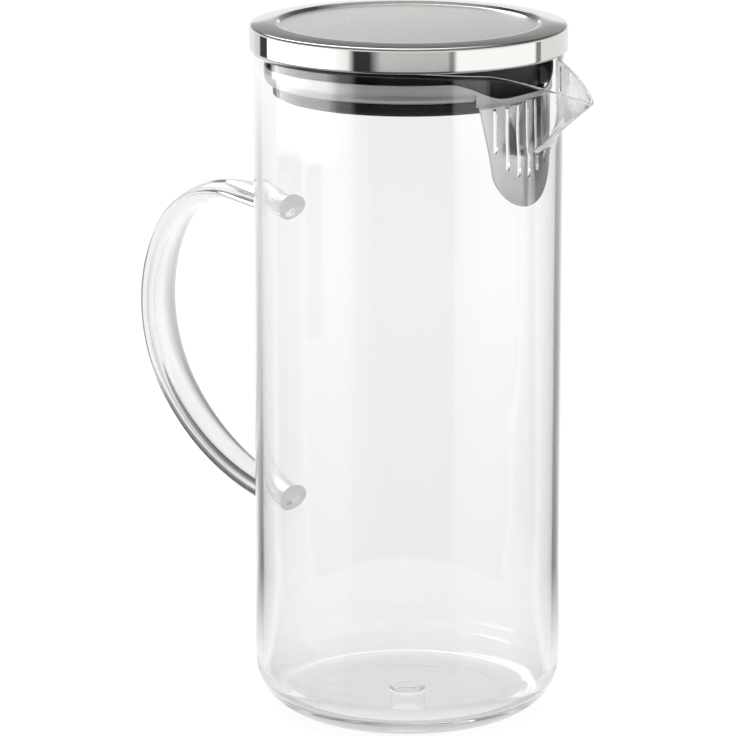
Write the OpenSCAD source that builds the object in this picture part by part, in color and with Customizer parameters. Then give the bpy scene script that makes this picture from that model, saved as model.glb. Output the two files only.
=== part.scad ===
// Glass pitcher with a polished lid, a slotted strainer and a fused strap handle.
// Origin: centre of the underside. +Z is up, the spout points along +X and the handle along -X.

/* [Glass vessel] */
// Outer diameter of the glass
glass_d = 105; // [98:0.5:112]
// Height of the rim above the table
glass_h = 230.6; // [220:0.2:245]
// Thickness of the side wall
glass_wall = 2.6; // [2.2:0.1:3.2]
// Thickness of the floor
glass_floor = 5.5; // [4:0.1:7]
// Outer radius of the rounded base
base_corner_r = 18; // [15:0.5:20]
// Inner radius between the floor and the wall
floor_corner_r = 10; // [8:0.5:12]
// Diameter of the nib left in the middle of the floor
nib_d = 12; // [8:0.5:18]
// Height of the nib
nib_h = 1.2; // [0.6:0.1:2]

/* [Spout] */
// How far the tip stands out from the wall
spout_reach = 22.3; // [17:0.1:25]
// How far the root of the keel lies below the rim
spout_depth = 29.9; // [26:0.1:34]
// How far the tip dips below the rim
spout_drop = 11.7; // [8:0.1:13]
// Half of the angle over which the wall swells into the spout
spout_half_angle = 29; // [25:0.5:33]
// How sharply the spout is pinched, as the power of its swell
spout_pinch = 1.6; // [1.3:0.1:2]
// Angle about the axis over which the pinched tip is rounded
tip_round_angle = 0.8; // [0.5:0.1:1.5]
// How far inside the wall the rim starts to dip
dip_inset = 32; // [28:0.5:36]
// Power of the dipping curve of the rim
dip_power = 2.4; // [2:0.05:2.8]

/* [Handle] */
// Width of the glass strap
strap_w = 18; // [14:0.5:22]
// Thickness of the glass strap
strap_t = 6.4; // [5:0.1:8]
// Height of the upper root above the table
handle_top_h = 169.8; // [160:0.2:176]
// Upward slope of the strap where it leaves the wall, in degrees
handle_rise = 10.2; // [4:0.2:16]
// Straight length of the strap at the upper root
handle_straight = 17.4; // [12:0.2:24]
// Radius of the upper bend, on the middle of the strap
upper_bend_r = 30.7; // [26:0.1:34]
// Angle of the upper bend
upper_bend_angle = 72.6; // [68:0.2:76]
// Radius of the grip, on the middle of the strap
grip_r = 57.8; // [52:0.1:64]
// Angle of the grip
grip_angle = 61.3; // [58:0.2:64]
// Radius of the lower bend, which runs back to the wall
lower_bend_r = 77.4; // [72:0.1:84]
// Height of the glass gather at each root
root_h = 10.4; // [8:0.2:14]
// Width of the glass gather at each root
root_w = 19.6; // [16:0.2:24]
// Distance from the wall over which each gather runs out
root_reach = 9; // [6:0.2:12]

/* [Lid cap] */
// How far the cap stands out past the glass
cap_overhang = 1.3; // [0.8:0.1:2.4]
// Height of the cap
cap_h = 8.6; // [7.4:0.1:10]
// Thickness of the pressed sheet
cap_t = 0.8; // [0.6:0.1:1]
// Radius of the cap's upper edge
cap_top_r = 0.9; // [0.5:0.1:1.4]
// Radius of the skirt's lower edge
cap_low_r = 0.7; // [0.4:0.1:0.75]
// Width of the raised border round the recess in the top
cap_border = 10.1; // [7:0.1:14]
// Depth of the recess
recess_depth = 1; // [0.6:0.1:1.6]
// Run of the sloping wall round the recess
recess_slope = 0.9; // [0.4:0.1:1.4]

/* [Lid core and retaining ring] */
// How far the neck is set in from the collar
neck_inset = 4.5; // [4.2:0.1:6.5]
// Length of the neck below the cap
neck_h = 16.3; // [15.6:0.1:19]
// Thickness of the neck's wall
neck_wall = 2.4; // [2:0.1:3.2]
// Thickness of the plate above the hollow neck
core_plate_t = 3; // [2:0.1:4]
// Depth of the groove for the retaining ring
groove_depth = 0.5; // [0.3:0.1:0.8]
// Height of the lip below the groove
groove_lip = 0.7; // [0.5:0.1:1]
// How far the retaining ring stands out from the neck
ring_stand = 1.6; // [1:0.1:2.2]
// Radius of each bead of the retaining ring
bead_r = 0.95; // [0.8:0.05:1.05]

/* [Pour collar] */
// Gap between the collar and the glass round it
mouth_gap = 1.1; // [0.6:0.1:2]
// Thickness of the collar's sheet
collar_t = 0.8; // [0.6:0.1:1]
// How far the collar's upper edge lies below the cap
collar_drop = 4.4; // [3:0.1:5]
// Height of the collar's dish
dish_h = 7.3; // [6.4:0.1:8]
// Outer radius of the turned-in edge of the dish
dish_corner_r = 3.6; // [2.4:0.1:4.2]
// Height of the strainer's plate, which carries the tongue
carrier_h = 8.6; // [8:0.1:9.4]
// How far the strainer's plate reaches past the tongue at each side, to the edges of the gap in the collar
carrier_margin = 1.4; // [1:0.1:3]
// Width of the pour notch at the collar's edge
notch_top_w = 55; // [50:0.5:60]
// Width of the floor of the pour notch
notch_floor_w = 34; // [28:0.5:40]
// Depth of the pour notch
notch_depth = 7.2; // [6:0.1:7.4]

/* [Strainer] */
// Thickness of the strainer's sheet
strainer_t = 0.6; // [0.4:0.1:0.8]
// Width of the tongue where it leaves the collar
tongue_w = 43; // [38:0.5:44]
// Length of the tongue below the collar
tongue_l = 36; // [32:0.2:40]
// Radius of the tongue's rounded end
tongue_end_r = 17; // [15:0.2:18.5]
// Number of slots
slot_count = 7; // [5:2:7]
// Width of a slot
slot_w = 2.1; // [1.6:0.1:2.6]
// Angle from slot to slot
slot_pitch = 6.27; // [5.8:0.05:6.4]
// Plain margin between the slots and the tongue's end
slot_margin = 9.8; // [8:0.2:11]
// Plain margin between the slots and the collar
slot_top_margin = 1.2; // [0.8:0.1:2]

/* [Fits] */
// Gap between the lid and the rim it rests on, and round the retaining ring's ends
rest_gap = 0.3; // [0.2:0.05:0.4]
// Radial gap of the fixed fits inside the lid
fit_gap = 0.05; // [0.03:0.01:0.08]
// Radial gap between the retaining ring and its groove
ring_gap = 0.1; // [0.06:0.01:0.12]
// Overlap by which the strainer reaches up behind the collar
strainer_lap = 1.2; // [0.8:0.1:1.3]

/* [Hidden] */
$fn = 96;
// Overrun of every cut past the faces that it opens
overrun = 2;
// Share of the wall's thickness by which the edges of the spout's swell are sunk into it
swell_sink_share = 0.5;
// How far the tongue's sheet is fused into the carrier's
weld_sink = 0.1;
// Extra height of the inner keel's root, which keeps the keel from running thin
keel_raise = 1;

// The glass
glass_r = glass_d / 2;
bore_r = glass_r - glass_wall;
nib_ball_r = (nib_d * nib_d / 4 + nib_h * nib_h) / (2 * nib_h);
// The spout: rows of its swell are set by height, columns by angle
tip_x = glass_r + spout_reach;
dip_x = glass_r - dip_inset;
keel_root_z = glass_h - spout_depth;
keel_run = spout_depth - spout_drop;
swell_rows = 16;
swell_columns = 32;
dip_steps = 20;
// Angle at which the swell has half of its reach, and the inner wall's narrower swell
swell_sink = glass_wall * swell_sink_share;
half_swell_angle = spout_half_angle * (1 - pow(1 / 2, 1 / spout_pinch));
flank_share = 0.3;
inner_half_angle = spout_half_angle * (1 - flank_share * glass_wall / (glass_r * half_swell_angle * PI / 180));

// The handle: directions are in degrees, seen with the strap running out along +X
bend_1 = [glass_r + handle_straight * cos(handle_rise), handle_top_h + handle_straight * sin(handle_rise)];
aim_2 = handle_rise - upper_bend_angle;
aim_3 = aim_2 - grip_angle;
centre_1 = bend_1 + upper_bend_r * side_of(handle_rise);
centre_2 = centre_1 + (grip_r - upper_bend_r) * side_of(aim_2);
centre_3 = centre_2 + (lower_bend_r - grip_r) * side_of(aim_3);
bury_aim = -acos((bore_r - centre_3[0]) / lower_bend_r);
straight_steps = 8;
upper_steps = 14;
grip_steps = 16;
lower_steps = 24;
strap_sides = 28;

// The lid, from the cap down
cap_r = glass_r + cap_overhang;
recess_r = cap_r - cap_border;
cap_low_z = glass_h + rest_gap;
cap_top_z = cap_low_z + cap_h;
core_top_z = cap_top_z - recess_depth - cap_t;
collar_r = bore_r - mouth_gap;
neck_r = collar_r - neck_inset;
ring_r = neck_r + ring_stand;
neck_low_z = cap_low_z - neck_h;
// Half of the angle of the gap in the collar
carrier_half_angle = asin((tongue_w / 2 + carrier_margin) / collar_r);
collar_top_z = cap_low_z - collar_drop;
dish_low_z = collar_top_z - dish_h;
carrier_low_z = collar_top_z - carrier_h;
groove_low_z = neck_low_z + groove_lip;
groove_top_z = dish_low_z;
ring_low_z = groove_low_z + rest_gap;
ring_h = groove_top_z - rest_gap - ring_low_z;
ring_bore_r = neck_r - groove_depth + ring_gap;
notch_low_z = collar_top_z - notch_depth;
notch_crest_z = collar_top_z + rest_gap;
notch_steps = 12;
// The tongue is welded to the inside of the carrier
strainer_r = collar_r - collar_t + weld_sink;
tongue_low_z = carrier_low_z - tongue_l;
tongue_end_z = tongue_low_z + tongue_end_r;
slot_top_z = carrier_low_z - slot_top_margin;

// Unit vector to the right of a direction, towards the middle of a bend
function side_of(aim) = [sin(aim), -cos(aim)];
// Angle from the spout's middle with the tip rounded off, which is zero at the middle
function pinch_angle(angle) = sqrt(angle * angle + tip_round_angle * tip_round_angle) - tip_round_angle;
// Share of the full reach that the spout has at an angle from its middle: a V whose feet run out softly
function swell_share(angle, half_angle) =
    pow(max(0, 1 - pinch_angle(angle) / pinch_angle(half_angle)), spout_pinch);
// Reach of the keel at a height, from its root to the tip and straight up from there
function keel_reach(z, root_z) = spout_reach * min(1, max(0, (z - root_z) / (keel_run - root_z + keel_root_z)));
// Height of the rim at a distance along the spout
function dip_z(x) = glass_h - spout_drop * pow(max(0, (x - dip_x) / (tip_x - dip_x)), dip_power);
// Height of the tongue's rounded end at a distance from its middle
function tongue_edge_z(y) = tongue_end_z - sqrt(max(0, tongue_end_r * tongue_end_r - y * y));
// Height of the pour notch at a distance from its middle
function notch_z(y) = notch_crest_z - (notch_crest_z - notch_low_z) * (1 + cos(180 * notch_share(y))) / 2;
function notch_share(y) = min(1, max(0, (abs(y) - notch_floor_w / 2) / ((notch_top_w - notch_floor_w) / 2)));

// Half section of a round disc with a rounded lower and upper edge, standing on the X axis
module disc_section(r, h, low_r, high_r) {
    square([r - low_r, h / 2]);
    translate([0, h / 2])
        square([r - high_r, h / 2]);
    translate([0, low_r])
        square([r, h - low_r - high_r]);
    if (low_r > 0)
        translate([r - low_r, low_r])
            circle(low_r);
    if (high_r > 0)
        translate([r - high_r, h - high_r])
            circle(high_r);
}

// Half section of a ring between two radii and two heights
module ring_section(r_in, r_out, z_low, z_high) {
    translate([r_in, z_low])
        square([r_out - r_in, z_high - z_low]);
}

// Wedge about the axis whose outer face is the wall with the spout's swell
module swell(wall_r, half_angle, root_z, top_z) {
    rows = swell_rows;
    columns = swell_columns;
    low_z = root_z - overrun;
    row_h = (top_z - low_z) / rows;
    across = columns + 2;
    function at(i, j) = i * across + j;
    points = [
        for (i = [0 : rows]) each [
            [0, 0, low_z + i * row_h],
            for (j = [0 : columns])
                let (
                    z = low_z + i * row_h,
                    angle = spout_half_angle * (2 * j / columns - 1),
                    reach = keel_reach(z, root_z) + swell_sink,
                    r = wall_r - swell_sink + reach * swell_share(angle, half_angle)
                )
                [r * cos(angle), r * sin(angle), z]
        ]
    ];
    faces = [
        for (i = [0 : rows - 1], j = [0 : columns + 1])
            let (k = (j + 1) % across)
            each [
                [at(i, j), at(i + 1, j), at(i + 1, k)],
                [at(i, j), at(i + 1, k), at(i, k)]
            ],
        for (j = [1 : columns]) each [
            [at(0, 0), at(0, j), at(0, j + 1)],
            [at(rows, 0), at(rows, j + 1), at(rows, j)]
        ]
    ];
    polyhedron(points, faces);
}

// Everything above the dipping rim of the spout
module rim_cut() {
    far_x = tip_x + overrun;
    top_z = glass_h + 2 * overrun;
    dip_points = [
        for (i = [0 : dip_steps])
            let (x = dip_x + (far_x - dip_x) * i / dip_steps)
            [x, dip_z(x)]
    ];
    rotate([90, 0, 0])
        linear_extrude(glass_d, center = true)
            polygon(concat(dip_points, [[far_x, top_z], [dip_x, top_z]]));
}

module glass_vessel() {
    color("aliceblue")
        difference() {
            union() {
                rotate_extrude()
                    disc_section(glass_r, glass_h, base_corner_r, glass_wall / 2);
                swell(glass_r, spout_half_angle, keel_root_z, glass_h + overrun);
            }
            rotate_extrude()
                difference() {
                    translate([0, glass_floor])
                        disc_section(bore_r, glass_h, floor_corner_r, 0);
                    // The rounded inner half of the rim, and the nib on the floor
                    translate([glass_r - glass_wall / 2, glass_h - glass_wall / 2])
                        circle(glass_wall / 2);
                    intersection() {
                        translate([0, glass_floor + nib_h - nib_ball_r])
                            circle(nib_ball_r);
                        square([nib_d, glass_floor + nib_h]);
                    }
                }
            swell(bore_r, inner_half_angle, keel_root_z + keel_raise, glass_h + 2 * overrun);
            rim_cut();
        }
}

// One station of the strap: the middle of its section and the aim there, after a turn about a bend's centre
function bend_station(centre, r, aim, turn) = [centre - r * side_of(aim - turn), aim - turn];
// Share of the root's gather that the strap has at a distance from the axis
function gather_share(x) = pow(min(1, max(0, 1 - (x - glass_r) / root_reach)), 2);

// The strap as a loft of oval sections along its bends, swelling to a gather at each root
module strap() {
    start = [glass_r, handle_top_h];
    lower_turn = aim_3 + 90 - bury_aim;
    stations = [
        for (i = [0 : straight_steps - 1])
            let (run = (handle_straight + glass_wall) * i / straight_steps - glass_wall)
            [start + run * [cos(handle_rise), sin(handle_rise)], handle_rise],
        for (i = [0 : upper_steps - 1])
            bend_station(centre_1, upper_bend_r, handle_rise, upper_bend_angle * i / upper_steps),
        for (i = [0 : grip_steps - 1])
            bend_station(centre_2, grip_r, aim_2, grip_angle * i / grip_steps),
        for (i = [0 : lower_steps])
            bend_station(centre_3, lower_bend_r, aim_3, lower_turn * i / lower_steps)
    ];
    rings = len(stations);
    function at(i, j) = i * strap_sides + j % strap_sides;
    points = [
        for (station = stations, j = [0 : strap_sides - 1])
            let (
                angle = 360 * j / strap_sides,
                share = gather_share(station[0][0]),
                t = strap_t + (root_h - strap_t) * share,
                w = strap_w + (root_w - strap_w) * share,
                middle = station[0] + t / 2 * cos(angle) * side_of(station[1])
            )
            [-middle[0], w / 2 * sin(angle), middle[1]]
    ];
    faces = [
        [for (j = [0 : strap_sides - 1]) at(0, strap_sides - 1 - j)],
        for (i = [0 : rings - 2], j = [0 : strap_sides - 1]) each [
            [at(i, j), at(i, j + 1), at(i + 1, j + 1)],
            [at(i, j), at(i + 1, j + 1), at(i + 1, j)]
        ],
        [for (j = [0 : strap_sides - 1]) at(rings - 1, j)]
    ];
    polyhedron(points, faces);
}

module glass_handle() {
    color("aliceblue")
        difference() {
            strap();
            cylinder(h = glass_h, r = glass_r);
        }
}

module lid_cap() {
    color("silver")
        rotate_extrude()
            difference() {
                translate([0, cap_low_z])
                    disc_section(cap_r, cap_h, cap_low_r, cap_top_r);
                // The recess in the top, with its sloping wall
                polygon([
                    [0, cap_top_z + overrun],
                    [0, cap_top_z - recess_depth],
                    [recess_r, cap_top_z - recess_depth],
                    [recess_r + recess_slope, cap_top_z],
                    [recess_r + recess_slope, cap_top_z + overrun]
                ]);
                // The hollow under the sheet, which follows the recess and the raised border
                ring_section(0, cap_r - cap_t, cap_low_z - overrun, core_top_z);
                ring_section(recess_r + recess_slope + cap_t, cap_r - cap_t - cap_top_r, core_top_z - overrun,
                    cap_top_z - cap_t);
            }
}

module lid_core() {
    color("dimgray")
        rotate_extrude()
            difference() {
                union() {
                    // The plate that closes the cap, and the neck below it
                    ring_section(0, cap_r - cap_t - fit_gap, cap_low_z, core_top_z);
                    ring_section(0, neck_r, neck_low_z, core_top_z);
                }
                ring_section(0, neck_r - neck_wall, neck_low_z - overrun, core_top_z - core_plate_t);
                ring_section(neck_r - groove_depth, neck_r + overrun, groove_low_z, groove_top_z);
            }
}

// The dish that fills the mouth, open above, with its lower edge turned in to the neck
module dish_section() {
    difference() {
        translate([0, dish_low_z])
            disc_section(collar_r, dish_h, dish_corner_r, 0);
        translate([0, dish_low_z + collar_t])
            disc_section(collar_r - collar_t, dish_h, dish_corner_r - collar_t, 0);
        ring_section(0, neck_r + fit_gap, dish_low_z - overrun, collar_top_z);
    }
}

// The opening over the strainer, cut through the collar towards the spout
module notch_cut() {
    high_z = collar_top_z + overrun;
    edge = [
        for (i = [-notch_steps : notch_steps])
            let (
                run = (notch_top_w - notch_floor_w) / 2 / notch_steps,
                y = i == 0 ? 0 : sign(i) * (notch_floor_w / 2 + (abs(i) - 1) * run * notch_steps / (notch_steps - 1))
            )
            [y, notch_z(y)]
    ];
    rotate([90, 0, 90])
        linear_extrude(glass_d)
            polygon(concat(edge, [[notch_top_w / 2, high_z], [-notch_top_w / 2, high_z]]));
}

module pour_collar() {
    color("gray")
        difference() {
            rotate([0, 0, carrier_half_angle])
                rotate_extrude(angle = 360 - 2 * carrier_half_angle)
                    dish_section();
            notch_cut();
        }
}

// Outline of the strainer's tongue, seen along the spout
module tongue_outline() {
    shoulder = tongue_end_r;
    lap_z = carrier_low_z + strainer_lap;
    polygon([
        [-tongue_w / 2, lap_z],
        [-shoulder, tongue_end_z],
        [shoulder, tongue_end_z],
        [tongue_w / 2, lap_z]
    ]);
    translate([0, tongue_end_z])
        circle(tongue_end_r);
}

// One slot with round ends, cut outwards through the tongue
module slot_cut(low_z) {
    slot_r = slot_w / 2;
    rotate([90, 0, 90])
        linear_extrude(glass_d) {
            translate([-slot_r, low_z + slot_r])
                square([slot_w, slot_top_z - low_z - slot_w]);
            translate([0, low_z + slot_r])
                circle(slot_r);
            translate([0, slot_top_z - slot_r])
                circle(slot_r);
        }
}

module strainer() {
    side_slots = (slot_count - 1) / 2;
    color("lightgray")
        difference() {
            union() {
                // The plate that closes the gap in the collar, and the tongue lapped behind it
                rotate([0, 0, -carrier_half_angle])
                    rotate_extrude(angle = 2 * carrier_half_angle)
                        ring_section(collar_r - collar_t, collar_r, carrier_low_z, collar_top_z);
                intersection() {
                    rotate([90, 0, 90])
                        linear_extrude(glass_d)
                            tongue_outline();
                    rotate_extrude()
                        ring_section(strainer_r - strainer_t, strainer_r, tongue_low_z - overrun, collar_top_z);
                }
            }
            notch_cut();
            for (i = [-side_slots : side_slots])
                let (y = strainer_r * sin(abs(i) * slot_pitch))
                rotate([0, 0, i * slot_pitch])
                    slot_cut(tongue_edge_z(y) + slot_margin);
        }
}

module retaining_ring() {
    color("dimgray")
        rotate_extrude()
            difference() {
                union() {
                    ring_section(ring_bore_r, ring_r - bead_r, ring_low_z, ring_low_z + ring_h);
                    translate([ring_r - bead_r, ring_low_z + bead_r])
                        circle(bead_r);
                    translate([ring_r - bead_r, ring_low_z + ring_h - bead_r])
                        circle(bead_r);
                }
                ring_section(0, ring_bore_r, ring_low_z - overrun, ring_low_z + ring_h + overrun);
            }
}

glass_vessel();
glass_handle();
lid_cap();
lid_core();
pour_collar();
strainer();
retaining_ring();
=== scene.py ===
# %% [markdown]
# # A glass pitcher with a lift-out lid
# The real object is a tall jug of borosilicate glass with a pinched spout and a fused strap handle.
# Its lid is a polished steel cap on a dark core, with a steel collar and a slotted strainer below.
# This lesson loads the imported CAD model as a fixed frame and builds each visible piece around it.
# Every length is typed in millimetres, as in the part's source, and turned to metres once.

# %% Load the frame
import math

import bmesh
import bpy
from mathutils import Matrix, Vector


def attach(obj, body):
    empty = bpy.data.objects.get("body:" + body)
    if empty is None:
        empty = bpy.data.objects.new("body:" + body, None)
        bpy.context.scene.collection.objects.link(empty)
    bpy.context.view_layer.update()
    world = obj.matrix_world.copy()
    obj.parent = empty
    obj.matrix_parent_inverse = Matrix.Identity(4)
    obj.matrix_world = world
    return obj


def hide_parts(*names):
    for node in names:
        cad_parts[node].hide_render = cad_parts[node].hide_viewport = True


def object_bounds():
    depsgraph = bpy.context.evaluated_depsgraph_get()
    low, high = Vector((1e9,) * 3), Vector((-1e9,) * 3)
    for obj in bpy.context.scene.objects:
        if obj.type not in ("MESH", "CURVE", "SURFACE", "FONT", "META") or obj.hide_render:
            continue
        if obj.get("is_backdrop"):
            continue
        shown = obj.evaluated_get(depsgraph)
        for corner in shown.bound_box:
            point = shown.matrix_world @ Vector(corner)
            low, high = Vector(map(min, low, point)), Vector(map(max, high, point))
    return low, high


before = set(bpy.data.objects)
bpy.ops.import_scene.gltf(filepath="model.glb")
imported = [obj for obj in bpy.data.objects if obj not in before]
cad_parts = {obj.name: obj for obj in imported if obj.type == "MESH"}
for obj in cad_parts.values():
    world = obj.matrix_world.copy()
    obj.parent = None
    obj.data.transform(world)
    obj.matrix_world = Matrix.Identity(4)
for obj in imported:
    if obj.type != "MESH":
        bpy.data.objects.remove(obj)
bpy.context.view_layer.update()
MM = 0.001

# %% [markdown]
# ## Colours and nodes
# Colours are written as sRGB hex values, as a colour picker shows them, and turned to linear light once.
# One small function adds a node with its settings and its inputs, so each finish reads as a short list.


# %% One colour function and one node function
def linear(hex_colour):
    """An sRGB hex colour as linear red, green, blue and alpha."""
    parts = [int(hex_colour[i:i + 2], 16) / 255 for i in (1, 3, 5)]
    return tuple(c / 12.92 if c <= 0.04045 else ((c + 0.055) / 1.055) ** 2.4 for c in parts) + (1.0,)


def add(tree, kind, inputs=None, **settings):
    """A new node with its settings, and each input set to a value or linked from a socket."""
    node = tree.nodes.new(kind)
    for key, value in settings.items():
        setattr(node, key, value)
    for key, value in (inputs or {}).items():
        if isinstance(value, bpy.types.NodeSocket):
            tree.links.new(value, node.inputs[key])
        else:
            node.inputs[key].default_value = value
    return node


def new_material(name):
    """An empty node material and its output node."""
    material = bpy.data.materials.new(name)
    material.use_nodes = True
    material.node_tree.nodes.clear()
    return material, material.node_tree, add(material.node_tree, "ShaderNodeOutputMaterial")


print("mid grey #808080 is", round(linear("#808080")[0], 3), "in linear light")

# %% [markdown]
# ## Borosilicate glass
# The jug is clear borosilicate, blown and fire-polished, so it is smooth but never quite flat: the mould
# and the flame leave slow waves a few centimetres long, which a faint bump gives. The thick edges look
# grey, since light runs far through them, so a neutral absorption fills the glass. Its colour and density
# are plain values on the sockets, which the export keeps.

# %% Glass finish
WAVE_MM, WAVE_HIGH, WAVE_STRENGTH = 38, 0.3, 0.12
GLASS_IOR, GLASS_TINT, TINT_DENSITY = 1.473, "#BCBDBD", 6.0

# Clear glass gives the eye sharp, slightly wavering reflections, and grey only where its edges run deep.
glass, tree, out = new_material("borosilicate_glass")
where = add(tree, "ShaderNodeTexCoord")
waves = add(tree, "ShaderNodeTexNoise", {
    "Vector": where.outputs["Object"], "Scale": 1 / (WAVE_MM * MM), "Detail": 1.0})
ripple = add(tree, "ShaderNodeBump", {
    "Height": waves.outputs["Fac"], "Strength": WAVE_STRENGTH, "Distance": WAVE_HIGH * MM})
body = add(tree, "ShaderNodeBsdfPrincipled", {
    "Base Color": linear("#FFFFFF"), "Roughness": 0.0, "IOR": GLASS_IOR, "Transmission Weight": 1.0,
    "Normal": ripple.outputs["Normal"]})
depth = add(tree, "ShaderNodeVolumeAbsorption", {"Color": linear(GLASS_TINT), "Density": TINT_DENSITY})
tree.links.new(body.outputs["BSDF"], out.inputs["Surface"])
tree.links.new(depth.outputs["Volume"], out.inputs["Volume"])
print(glass.name, "has waves of", WAVE_MM, "mm and an index of refraction of", GLASS_IOR)

# %% [markdown]
# ## Steel
# The cap is stainless steel, pressed and then polished on a wheel: a mirror with a few fine scuffs. The
# recess in its top is brushed in circles to a satin. The collar and the strainer's plate are thin sheet
# with the dull skin that the press leaves, and the strainer's tongue is blanked from brighter sheet.
# One function makes all four, since they differ in roughness and grain alone. Scuffs and brushing are
# finer than a pixel in life, so they are drawn at about a millimetre or more to show at all.

# %% Steel finishes
SCUFF_MM, BRUSH_MM, RELIEF_MM = 9, 0.9, 0.05


def steel(name, colour, rough, spread, bump, circles=False):
    """Stainless steel with a mean roughness, its spread, and either circular brushing or cloudy scuffs."""
    material, tree, out = new_material(name)
    where = add(tree, "ShaderNodeTexCoord")
    source, scale = where.outputs["Object"], 1 / (SCUFF_MM * MM)
    if circles:
        flat = add(tree, "ShaderNodeVectorMath", {0: source, 1: (1.0, 1.0, 0.0)}, operation="MULTIPLY")
        ring = add(tree, "ShaderNodeVectorMath", {0: flat.outputs["Vector"]}, operation="LENGTH")
        source = add(tree, "ShaderNodeCombineXYZ", {"X": ring.outputs["Value"]}).outputs["Vector"]
        scale = 1 / (BRUSH_MM * MM)
    grain = add(tree, "ShaderNodeTexNoise", {"Vector": source, "Scale": scale, "Detail": 3.0})
    sheen = add(tree, "ShaderNodeMapRange", {
        "Value": grain.outputs["Fac"], "To Min": rough - spread, "To Max": rough + spread})
    relief = add(tree, "ShaderNodeBump", {
        "Height": grain.outputs["Fac"], "Strength": bump, "Distance": RELIEF_MM * MM})
    body = add(tree, "ShaderNodeBsdfPrincipled", {
        "Base Color": linear(colour), "Metallic": 1.0, "Roughness": sheen.outputs["Result"],
        "Normal": relief.outputs["Normal"]})
    tree.links.new(body.outputs["BSDF"], out.inputs["Surface"])
    return material


# Wheel polish gives the eye a mirror: hard bands of light and dark round the skirt.
polished_steel = steel("polished_stainless_steel", "#DAD9D6", 0.05, 0.015, 0.02)
# Circular brushing gives the eye an even grey, with a soft fan of light where it faces the sky.
satin_steel = steel("circle_brushed_stainless_steel", "#DAD9D7", 0.27, 0.015, 0.012, circles=True)
# The press's dull skin gives the eye a pale grey with no clear reflections.
pressed_steel = steel("pressed_stainless_steel", "#E0E0DE", 0.52, 0.05, 0.04)
# Bright rolled sheet gives the eye blurred reflections that run from pale to dark.
blanked_steel = steel("blanked_stainless_steel", "#C4C4C2", 0.13, 0.03, 0.03)
print("steels:", [m.name for m in (polished_steel, satin_steel, pressed_steel, blanked_steel)])

# %% [markdown]
# ## Dark plastic and silicone
# The core is moulded ABS with a fine spark-eroded skin, and the ring in its groove is silicone rubber.
# Both are near black, and what tells them apart is the gloss: the plastic has a soft shine, the rubber
# almost none. The grain is drawn a few times coarser than life, so that it shows.

# %% Plastic and rubber finishes
GRAIN_MM, GRAIN_HIGH, GRAIN_SPREAD = 0.8, 0.1, 0.08


def dark_moulding(name, colour, rough, bump):
    """A dark moulded finish with a fine grain in its roughness and relief."""
    material, tree, out = new_material(name)
    where = add(tree, "ShaderNodeTexCoord")
    grain = add(tree, "ShaderNodeTexNoise", {
        "Vector": where.outputs["Object"], "Scale": 1 / (GRAIN_MM * MM), "Detail": 4.0})
    sheen = add(tree, "ShaderNodeMapRange", {
        "Value": grain.outputs["Fac"], "To Min": rough - GRAIN_SPREAD, "To Max": rough + GRAIN_SPREAD})
    relief = add(tree, "ShaderNodeBump", {
        "Height": grain.outputs["Fac"], "Strength": bump, "Distance": GRAIN_HIGH * MM})
    body = add(tree, "ShaderNodeBsdfPrincipled", {
        "Base Color": linear(colour), "Roughness": sheen.outputs["Result"],
        "Normal": relief.outputs["Normal"]})
    tree.links.new(body.outputs["BSDF"], out.inputs["Surface"])
    return material


# Spark-eroded ABS gives the eye near black with a soft grey shine.
moulded_abs = dark_moulding("moulded_abs", "#0E0E0F", 0.42, 0.15)
# Silicone gives the eye a deeper black, with hardly any shine on its beads.
silicone = dark_moulding("silicone_rubber", "#0C0C0D", 0.6, 0.25)
print("mouldings:", [m.name for m in (moulded_abs, silicone)])

# %% [markdown]
# ## Turning a section
# Most of this jug is turned: the glass is blown in a round mould and the lid is pressed and spun. So most
# pieces start as a half section of a few points, which bmesh's spin turns about the axis. An arc of points
# rounds a corner. Points on the axis fall together in the spin, so doubles are merged after it.

# %% Arcs and spins
MERGE = 1e-6


def arc(centre, radius, start, end, steps):
    """Points (r, z) in mm along an arc, with its angles in degrees."""
    angles = [math.radians(start + (end - start) * i / steps) for i in range(steps + 1)]
    return [(centre[0] + radius * math.cos(a), centre[1] + radius * math.sin(a)) for a in angles]


def spin_section(section, steps, start=0.0, end=360.0):
    """A bmesh made by turning a section of (r, z) points in mm from one angle in degrees to another."""
    bm = bmesh.new()
    turn = Matrix.Rotation(math.radians(start), 4, "Z")
    verts = [bm.verts.new(turn @ Vector((r * MM, 0, z * MM))) for r, z in section]
    edges = [bm.edges.new(pair) for pair in zip(verts, verts[1:])]
    bmesh.ops.spin(bm, geom=verts + edges, cent=(0, 0, 0), axis=(0, 0, 1), angle=math.radians(end - start),
                   steps=steps, use_merge=end - start >= 360)
    bmesh.ops.remove_doubles(bm, verts=bm.verts, dist=MERGE)
    bmesh.ops.recalc_face_normals(bm, faces=bm.faces)
    return bm


print("a quarter round of 8 steps has", len(arc((0, 0), 1, 0, 90, 8)), "points")

# %% [markdown]
# ## The glass vessel
# The wall is one closed section: a slightly hollow underside, rounded base, outer wall, fire-polished rim,
# inner wall, floor and the small nib that the mould leaves. Its rows lie closer where the handle is fused on
# and where the spout is pulled. Spun, it is a plain tumbler. A glassblower then softens the rim and pulls
# the spout out of it, and the mesh is made the same way: its vertices are pulled outwards and down.

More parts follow.
